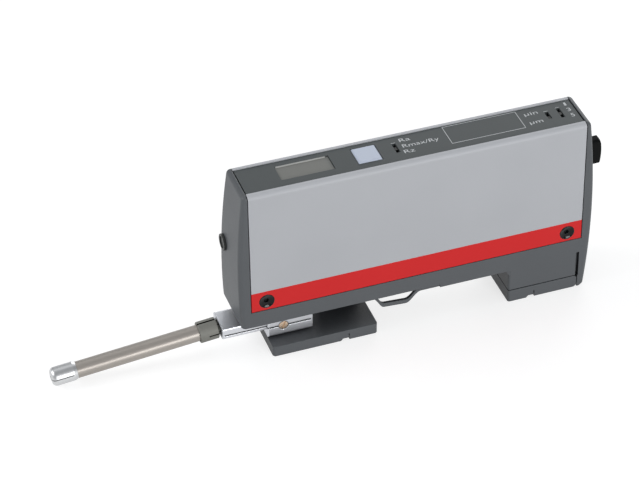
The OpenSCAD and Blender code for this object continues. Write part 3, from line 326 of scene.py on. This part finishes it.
finish, shader, start, where = new_finish("battery_jacket", Metallic=0.6)
band = start.maths("GREATER_THAN", coordinate(start, where, 2), JACKET_BAND)
lap = grain(start, where, 1.2, stretch=(1.0, 1.0, 0.1))
feed(shader, "Base Color", tint(start, band, tint(start, lap, rgb(48, 52, 58), rgb(60, 64, 70)),
                                tint(start, lap, rgb(178, 140, 84), rgb(196, 158, 98))))
feed(shader, "Roughness", 0.3 + lap * 0.12)
feed(shader, "Normal", soft_edge(start, 0.6))
wear(finish, "battery")

# Covers. Two sheets bent over the top edges and let into the casting, sprayed silver, with a red band
# printed along the lower edge. Each hangs on the bend and is held by two screws.
BAND_TOP = 31.4 * MM
finish, shader, start, where = new_finish("silver_spray_and_red_band", Specular_IOR_Level=0.2)
red = start.maths("LESS_THAN", coordinate(start, where, 2), BAND_TOP)
flake = grain(start, where, 0.12, detail=1.0)
cloud = grain(start, where, 30.0)
silver = tint(start, flake * 0.5 + cloud * 0.5, rgb(171, 173, 177), rgb(186, 188, 192))
ink = tint(start, flake * 0.4 + cloud * 0.6, rgb(201, 36, 38), rgb(211, 44, 45))
feed(shader, "Base Color", tint(start, red, silver, ink))
feed(shader, "Metallic", (1 - red) * 0.12)
feed(shader, "Roughness", 0.56 + flake * 0.08 - red * 0.06)
feed(shader, "Normal", dimple(start, flake, 0.004, soft_edge(start, 0.25), 0.35))
wear(finish, "front_cover", "rear_cover")

# Cover and foot screws. Socket screws of blackened and oiled steel, with a deep hexagon. Two hold each
# cover to the casting, and others hold the front foot from below.
wear(grained_finish("black_oxide", {"size_mm": 0.3},
                    dark=(6, 6, 7), light=(14, 15, 16), gloss=(0.08, 0.08), bump=(0.006, 0.3),
                    edge_mm=0.2, Specular_IOR_Level=0.22),
     "cover_screws", "foot_screws")

# Control strip. A dark printed plate laid on the deck between the covers, with a satin face. It has the
# openings of the display, the start button and the slide switches.
finish, shader, start, where = new_finish("printed_strip", Specular_IOR_Level=0.25)
satin = grain(start, where, 0.3)
cloud = grain(start, where, 18.0)
feed(shader, "Base Color", tint(start, cloud * 0.6 + satin * 0.4, rgb(65, 70, 71), rgb(75, 80, 81)))
feed(shader, "Roughness", 0.42 + satin * 0.12)
feed(shader, "Normal", dimple(start, satin, 0.006, soft_edge(start, 0.12), 0.4))
wear(finish, "top_overlay")

# Print on the strip. The legends, a tick at each slot and a plain frame are screen printed in light grey
# ink. Their places are in mm from the middle of the strip.
STRIP_TOP = strip_high.z
INK_T = 0.02
LETTER_LIFT = 0.012
CAP_HEIGHT = 2.0
FONT_CAP = 0.7
LINE = 0.22
PLATE_LEFT, PLATE_RIGHT, PLATE_FRONT, PLATE_BACK = 14.7, 44.0, -3.8, 6.6
TICK_L, TICK_W = 1.6, 0.2
screen_ink, shader, start, where = new_finish("screen_ink", Specular_IOR_Level=0.3)
mesh_dots = grain(start, where, 0.2)
feed(shader, "Base Color", tint(start, mesh_dots, rgb(176, 180, 182), rgb(204, 207, 209)))
feed(shader, "Roughness", 0.5 + mesh_dots * 0.15)


def printed(mark):
    """A printed mark is of ink and rides on the housing."""
    mark.data.materials.clear()
    mark.data.materials.append(screen_ink)
    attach(mark, "housing")


def legend(name, words, left, right, base):
    """Words as a thin mesh, drawn out to lie between left and right on a base line, in mm."""
    curve = bpy.data.curves.new(name, "FONT")
    curve.body = words
    curve.size = 1.0
    curve.extrude = INK_T / 2
    curve.resolution_u = 3
    letters = bpy.data.objects.new(name, curve)
    scene.collection.objects.link(letters)
    bpy.context.view_layer.update()
    mesh = bpy.data.meshes.new_from_object(letters.evaluated_get(bpy.context.evaluated_depsgraph_get()))
    bpy.data.objects.remove(letters)
    points = np.empty(len(mesh.vertices) * 3)
    mesh.vertices.foreach_get("co", points)
    points = points.reshape(-1, 3)
    low, high = points[:, 0].min(), points[:, 0].max()
    points[:, 0] = ((points[:, 0] - low) / (high - low) * (right - left) + left) * MM + MIDDLE
    points[:, 1] = (points[:, 1] * CAP_HEIGHT / FONT_CAP + base) * MM
    points[:, 2] = STRIP_TOP + (points[:, 2] + LETTER_LIFT) * MM
    mesh.vertices.foreach_set("co", points.ravel())
    mesh.update()
    mark = bpy.data.objects.new(name, mesh)
    scene.collection.objects.link(mark)
    printed(mark)


legend("legend_mean", "Ra", -3.0, 1.2, 3.5)
legend("legend_peak", "Rmax/Ry", -3.0, 11.2, -0.1)
legend("legend_depth", "Rz", -3.6, 0.5, -3.5)
legend("legend_inch", "µin", 46.4, 51.7, 2.9)
legend("legend_metric", "µm", 46.4, 51.6, -2.5)
legend("legend_one", "1", 63.0, 63.8, 4.1)
legend("legend_three", "3", 62.7, 64.2, 0.5)
legend("legend_five", "5", 62.7, 64.2, -3.1)


def printed_bar(name, left, right, front, back):
    """A flat printed bar: the eight corners of a box as thick as the ink on the strip, in mm."""
    corner = np.indices((2, 2, 2)).reshape(3, 8)[::-1].T
    low = np.array([MIDDLE + left * MM, front * MM, STRIP_TOP])
    points = low + corner * np.array([(right - left) * MM, (back - front) * MM, INK_T * MM])
    faces = [[0, 2, 3, 1], [4, 5, 7, 6], [0, 1, 5, 4], [2, 6, 7, 3], [0, 4, 6, 2], [1, 3, 7, 5]]
    printed(sheet_mesh(name, points, faces))


printed_bar("frame_line_front", PLATE_LEFT, PLATE_RIGHT, PLATE_FRONT, PLATE_FRONT + LINE)
printed_bar("frame_line_back", PLATE_LEFT, PLATE_RIGHT, PLATE_BACK, PLATE_BACK + LINE)
printed_bar("frame_line_left", PLATE_LEFT, PLATE_LEFT + LINE, PLATE_FRONT + LINE, PLATE_BACK)
printed_bar("frame_line_right", PLATE_RIGHT - LINE, PLATE_RIGHT, PLATE_FRONT + LINE, PLATE_BACK)
for name, left, front in (("tick_parameter", -6.4, 3.6), ("tick_unit", 53.9, 3.1),
                          ("tick_cutoff", 58.9, 3.85)):
    printed_bar(name, left, left + TICK_L, front, front + TICK_W)

# Display. A clear moulded window over a reflective grey liquid crystal glass, let into the strip. A painted
# reflection darkens the glass towards the right, and a bevel along its back edge is painted pale as a
# painted highlight on the lit back wall.
REFLECTION_FADE_START, REFLECTION_FADE_END = 4.0 * MM, 8.5 * MM
BEVEL_W = 0.45 * MM
BEVEL_FROM_LEFT, BEVEL_FROM_RIGHT = 0.3 * MM, 1.2 * MM
BEVEL_LIFT = 0.01 * MM
BEVEL_SHARE = 0.96
finish, shader, start, where = new_finish("liquid_crystal", Specular_IOR_Level=0.3, Coat_Weight=0.3,
                                          Coat_Roughness=0.06)
# Painted reflection: the glass is tinted darker towards the right.
reflection_fade = eased(start, coordinate(start, where, 0), REFLECTION_FADE_START, REFLECTION_FADE_END)
pearl = grain(start, where, 0.35)
crystal_grey = tint(start, pearl, rgb(106, 107, 103), rgb(116, 117, 113))
feed(shader, "Base Color", tint(start, reflection_fade * 0.6, crystal_grey, rgb(76, 80, 80)))
feed(shader, "Roughness", 0.3 + pearl * 0.1)
feed(shader, "Normal", soft_edge(start, 0.1))
wear(finish, "display_window", "display_module")

# Painted highlight: the bevel's pale colour stands in for light on the back wall of the window's recess.
finish, shader, start, where = new_finish("back_bevel_painted_highlight", Specular_IOR_Level=0.4)
satin = grain(start, where, 0.2)
feed(shader, "Base Color", tint(start, satin, rgb(150, 151, 148), rgb(168, 169, 166)))
feed(shader, "Roughness", 0.35 + satin * 0.1)
window_low, window_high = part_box("display_window")
bevel_x = np.linspace(window_low.x + BEVEL_FROM_LEFT, window_high.x - BEVEL_FROM_RIGHT, 24)
bevel_rise = np.linspace(0.0, 1.0, 5)


def back_bevel(along, rise):
    """Bevel behind the window: rises from the glass to the strip's top as a quarter round leaning back."""
    x, t = np.meshgrid(along, rise)
    y = window_high.y - BEVEL_W * np.cos(t * np.pi / 2)
    z = window_high.z + BEVEL_LIFT + (STRIP_TOP - window_high.z) * np.sin(t * np.pi / 2) * BEVEL_SHARE
    return np.stack([x.ravel(), y.ravel(), z.ravel()], axis=1)


def grid_faces(across, up):
    """Four-cornered faces of a grid of points laid out row by row."""
    corner = (np.arange(up - 1)[:, None] * across + np.arange(across - 1)).ravel()
    return np.stack([corner, corner + 1, corner + across + 1, corner + across], axis=1)


bevel = sheet_mesh("window_bevel", back_bevel(bevel_x, bevel_rise),
                   grid_faces(bevel_x.size, bevel_rise.size))
bevel.data.materials.append(finish)
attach(bevel, "housing")

# Start button. A square cap moulded in pale blue grey, with a small chamfer and a flange under the deck.
# It stands on the plunger of the start switch.
wear(grained_finish("pale_moulding", {"size_mm": 0.3},
                    dark=(179, 188, 204), light=(189, 197, 212), gloss=(0.38, 0.12), bump=(0.006, 0.3),
                    edge_mm=0.3, Specular_IOR_Level=0.4),
     "start_button")

# Connector cap. A cap of dull black rubber with a flat grip on a round flange, moulded in one. Its spigot
# is pushed into the socket in the right end.
wear(grained_finish("black_rubber", {"size_mm": 0.4, "detail": 3.0},
                    dark=(11, 12, 12), light=(19, 20, 20), gloss=(0.55, 0.2), bump=(0.01, 0.5),
                    edge_mm=0.4, Specular_IOR_Level=0.08),
     "connector_cap")

# End plug. A dished button moulded in dark grey plastic. It is pressed into a hole in the left end of the
# casting.
wear(grained_finish("grey_moulding", {"size_mm": 0.3},
                    dark=(54, 56, 55), light=(66, 68, 66), gloss=(0.4, 0.15), bump=(0.008, 0.4),
                    edge_mm=0.2, Specular_IOR_Level=0.4),
     "end_plug")

# Probe holder. A milled steel block with a slit sleeve, nickel plated to a bright satin. It turns on the
# swivel pin under the carriage, and its slit and other tight gaps get painted shade inside.
SLIT_SHADE_REACH = 1.6
finish, shader, start, where = new_finish("bright_nickel", Metallic=1.0)
satin = grain(start, where, 0.25, stretch=(0.06, 1.0, 1.0))
haze = grain(start, where, 6.0)
plated = tint(start, satin * 0.4 + haze * 0.6, rgb(196, 198, 203), rgb(214, 216, 220))
# Painted shade: the plating is tinted near black in the slit and other tight gaps of the block itself.
clear = eased(start, openness(start, SLIT_SHADE_REACH, own_only=True), 0.25, 0.7)
feed(shader, "Base Color", tint(start, clear, rgb(24, 24, 25), plated))
feed(shader, "Roughness", 0.4 + satin * 0.08)
feed(shader, "Normal", dimple(start, satin, 0.002, soft_edge(start, 0.45), 0.2))
wear(finish, "swivel_holder")

# Clamp screw. A slotted screw turned from pale brass. Its head is let into the front of the block, where
# it draws the slit together.
wear(grained_finish("turned_brass", {"size_mm": 0.25, "stretch": (1.0, 0.3, 1.0)},
                    dark=(204, 176, 146), light=(234, 214, 194), gloss=(0.2, 0.15), bump=(0.006, 0.4),
                    edge_mm=0.12, Metallic=1.0),
     "clamp_screw")

# Probe collar. A ring of blasted steel, sawn along its whole length above and below and half its length in
# front and behind, with painted shade in the cuts. Its flat tongue hangs on the tilt pin by an eye. Sizes
# are in mm from that pin.
DROOP = math.radians(5.3)
COLLAR_START, COLLAR_END, COLLAR_R, CHAMFER = 4.7, 11.9, 4.1, 0.25
SOCKET_START, SOCKET_R = 7.9, 3.16
CUT_WIDTH, CUT_DEPTH, CUT_END, CUT_STEP = 0.65, 0.75, 8.6, 0.01
JUST_INSIDE, JUST_OUTSIDE = 0.98, 1.02
# Half widths of the painted shade in the long and the short cuts, in mm.
LONG_CUT_SHADE, SHORT_CUT_SHADE = 0.34, 0.3
TONGUE_TAIL, TONGUE_REACH, TONGUE_W, TONGUE_T, EYE_R = 3.0, 4.9, 5.6, 2.4, 0.85
tilt_joint = [joint for joint in frame["record"]["behaviour"]["joints"] if joint["name"] == "probe_tilt"][0]
tilt_point = Vector(tilt_joint["pos_m"])
forward = Vector((-math.cos(DROOP), 0.0, -math.sin(DROOP)))
upward = Vector((-math.sin(DROOP), 0.0, math.cos(DROOP)))


def measured(start, where, axis):
    """Distance from the tilt pin along an axis: dot product of place and axis, less that of the pin."""
    along = start.node("ShaderNodeVectorMath", {"operation": "DOT_PRODUCT"}, {0: where, 1: axis},
                       out="Value")
    return along - axis.dot(tilt_point)


def within(start, value, limit_mm):
    """1 where the size of a value is under a limit, and 0 elsewhere."""
    return start.maths("LESS_THAN", start.maths("ABSOLUTE", value), limit_mm * MM)


finish, shader, start, where = new_finish("blasted_steel", Metallic=0.35, Specular_IOR_Level=0.3)
blast = grain(start, where, 0.22, detail=3.0)
across = coordinate(start, where, 1)
over = measured(start, where, upward)
rear_half = start.maths("LESS_THAN", measured(start, where, forward), CUT_END * MM)
upper_half = start.maths("GREATER_THAN", over, 0.0)
# Painted shade: the long cut on top and the short cuts in front and behind are tinted near black inside.
saw_cut = start.maths("MAXIMUM", within(start, across, LONG_CUT_SHADE) * upper_half,
                      within(start, over, SHORT_CUT_SHADE) * rear_half)
blasted = tint(start, blast, rgb(114, 114, 109), rgb(138, 138, 132))
feed(shader, "Base Color", tint(start, saw_cut, blasted, rgb(18, 18, 17)))
feed(shader, "Roughness", 0.55 + blast * 0.18)
feed(shader, "Normal", dimple(start, blast, 0.015, soft_edge(start, 0.2), 0.6))
collar_line = np.array([
    [COLLAR_START, 0.0], [COLLAR_START, COLLAR_R - CHAMFER], [COLLAR_START + CHAMFER, COLLAR_R],
    [CUT_END - CUT_STEP, COLLAR_R], [CUT_END + CUT_STEP, COLLAR_R], [COLLAR_END - CHAMFER, COLLAR_R],
    [COLLAR_END, COLLAR_R - CHAMFER], [COLLAR_END, SOCKET_R], [SOCKET_START, SOCKET_R], [SOCKET_START, 0.0]])
cut_half = CUT_WIDTH / COLLAR_R / 2
long_cuts, short_cuts = np.radians([90.0, 270.0]), np.radians([0.0, 180.0])
cut_centres = np.concatenate([long_cuts, short_cuts])
side_steps = np.array([-JUST_OUTSIDE, -JUST_INSIDE, JUST_INSIDE, JUST_OUTSIDE])
cut_sides = cut_centres[:, None] + cut_half * side_steps
bar_corners = np.arctan2(TONGUE_T / 2 * np.array([1, -1, 1, -1]),
                         [TONGUE_REACH, TONGUE_REACH, -TONGUE_TAIL, -TONGUE_TAIL])


def angles_round(count, extra):
    """Angles of a full turn in even steps, with the extra ones set in among them."""
    even = np.linspace(0.0, 2 * np.pi, count, endpoint=False)
    return np.unique(np.concatenate([even, extra.ravel() % (2 * np.pi)]))


def in_cut(turn, centres):
    """True at the angles that lie within half a cut's width of one of the centres, the short way round."""
    away = (turn[:, None] - centres + np.pi) % (2 * np.pi) - np.pi
    return (np.abs(away) < cut_half).any(axis=1)


def slotted_ring(line, turn):
    """Profile of distance and radius carried round the probe's line: the radius steps in at the cuts."""
    along, radius = line[:, :1], np.repeat(line[:, 1:], turn.size, axis=1)
    cut = in_cut(turn, long_cuts) | (in_cut(turn, short_cuts) & (along < CUT_END))
    radius = np.where(cut, np.minimum(radius, COLLAR_R - CUT_DEPTH), radius)
    outward = np.cos(turn)[:, None] * np.array([0.0, -1.0, 0.0]) + np.sin(turn)[:, None] * np.array(upward)
    points = along[:, :, None] * np.array(forward) + radius[:, :, None] * outward
    return points.reshape(-1, 3) * MM + np.array(tilt_point)


def tongue_with_eye(turn):
    """Flat bar with a round eye: at each angle, one point on the eye and one where the ray meets the bar."""
    ray = np.stack([np.cos(turn), np.sin(turn)], axis=1)
    end = np.where(ray[:, 0] > 0, TONGUE_REACH, TONGUE_TAIL) / np.maximum(np.abs(ray[:, 0]), 1e-9)
    reach = np.minimum(end, TONGUE_T / 2 / np.maximum(np.abs(ray[:, 1]), 1e-9))
    size = np.stack([np.full_like(reach, EYE_R), reach, reach, np.full_like(reach, EYE_R)])
    side = np.array([-1.0, -1.0, 1.0, 1.0])[:, None, None] * TONGUE_W / 2 * np.array([0.0, 1.0, 0.0])
    flat = ray[:, :1] * np.array(forward) + ray[:, 1:] * np.array(upward)
    return (size[:, :, None] * flat + side).reshape(-1, 3) * MM + np.array(tilt_point)


def ring_faces(around, along, rows):
    """Four-cornered faces of a grid of points that closes on itself across its rows."""
    row, column = np.meshgrid(np.arange(rows), np.arange(around), indexing="ij")
    below, beside = (row + 1) % along, (column + 1) % around
    corners = (row * around + column, row * around + beside,
               below * around + beside, below * around + column)
    return np.stack([corner.ravel() for corner in corners], axis=1)


collar_turn = angles_round(count=180, extra=cut_sides)
tongue_turn = angles_round(count=64, extra=bar_corners)
ring_points, tongue_points = slotted_ring(collar_line, collar_turn), tongue_with_eye(tongue_turn)
lines = len(collar_line)
collar = sheet_mesh("saw_cut_collar", np.concatenate([ring_points, tongue_points]), np.concatenate([
    ring_faces(collar_turn.size, lines, lines - 1),
    ring_faces(tongue_turn.size, 4, 4) + len(ring_points)]))
shell = bmesh.new()
shell.from_mesh(collar.data)
bmesh.ops.remove_doubles(shell, verts=shell.verts, dist=1e-4 * MM)
bmesh.ops.recalc_face_normals(shell, faces=shell.faces)
shell.to_mesh(collar.data)
shell.free()
collar.data.materials.append(finish)
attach(collar, "probe")
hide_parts("probe_collar")
wear(finish, "probe_collar")

# Probe tube. A drawn stainless tube with fine marks along its length. It is pressed into the collar at one
# end and carries the nosepiece at the other.
along_probe = (0.0, -DROOP, 0.0)
wear(grained_finish("drawn_stainless", {"size_mm": 0.25, "detail": 3.0, "stretch": (0.03, 1.0, 1.0),
                                        "turn": along_probe},
                    dark=(150, 144, 138), light=(168, 162, 155), gloss=(0.34, 0.1), bump=(0.006, 0.4),
                    edge_mm=0.1, Metallic=0.45),
     "probe_tube")

# Nosepiece. Turned from steel and polished, with a spigot in the tube, a round skid and a slot for the
# stylus. A fine dark line runs along its side.
SPLIT_TURN = math.radians(13.0)
SPLIT_HALF = 0.16
NOSE_START = 60.8
finish, shader, start, where = new_finish("polished_steel", Metallic=1.0)
ring = grain(start, where, 0.2, stretch=(1.0, 0.05, 0.05), turn=along_probe)
split_normal = upward * math.cos(SPLIT_TURN) + Vector((0.0, math.sin(SPLIT_TURN), 0.0))
split = within(start, measured(start, where, split_normal), SPLIT_HALF)
nose = start.maths("GREATER_THAN", measured(start, where, forward), NOSE_START * MM)
polished = tint(start, ring, rgb(194, 195, 196), rgb(212, 213, 214))
feed(shader, "Base Color", tint(start, split * nose, polished, rgb(40, 40, 42)))
feed(shader, "Roughness", 0.36 + ring * 0.06)
feed(shader, "Normal", dimple(start, ring, 0.002, soft_edge(start, 0.12), 0.4))
wear(finish, "probe_tip")

# Pick-up coil. Fine copper wire wound round the line of the probe. It sits in the tube, behind the lever
# of the stylus, and senses how that moves.
finish, shader, start, where = new_finish("copper_winding", Metallic=1.0)
turns = start.node("ShaderNodeTexWave", {"wave_type": "BANDS", "bands_direction": "X"},
                   {"Vector": where, "Scale": 2400.0, "Distortion": 0.3}, out="Fac")
feed(shader, "Base Color", tint(start, turns, rgb(120, 66, 34), rgb(196, 120, 70)))
feed(shader, "Roughness", 0.3 + turns * 0.1)
feed(shader, "Normal", dimple(start, turns, 0.05, soft_edge(start, 0.1), 0.6))
wear(finish, "pickup_coil")
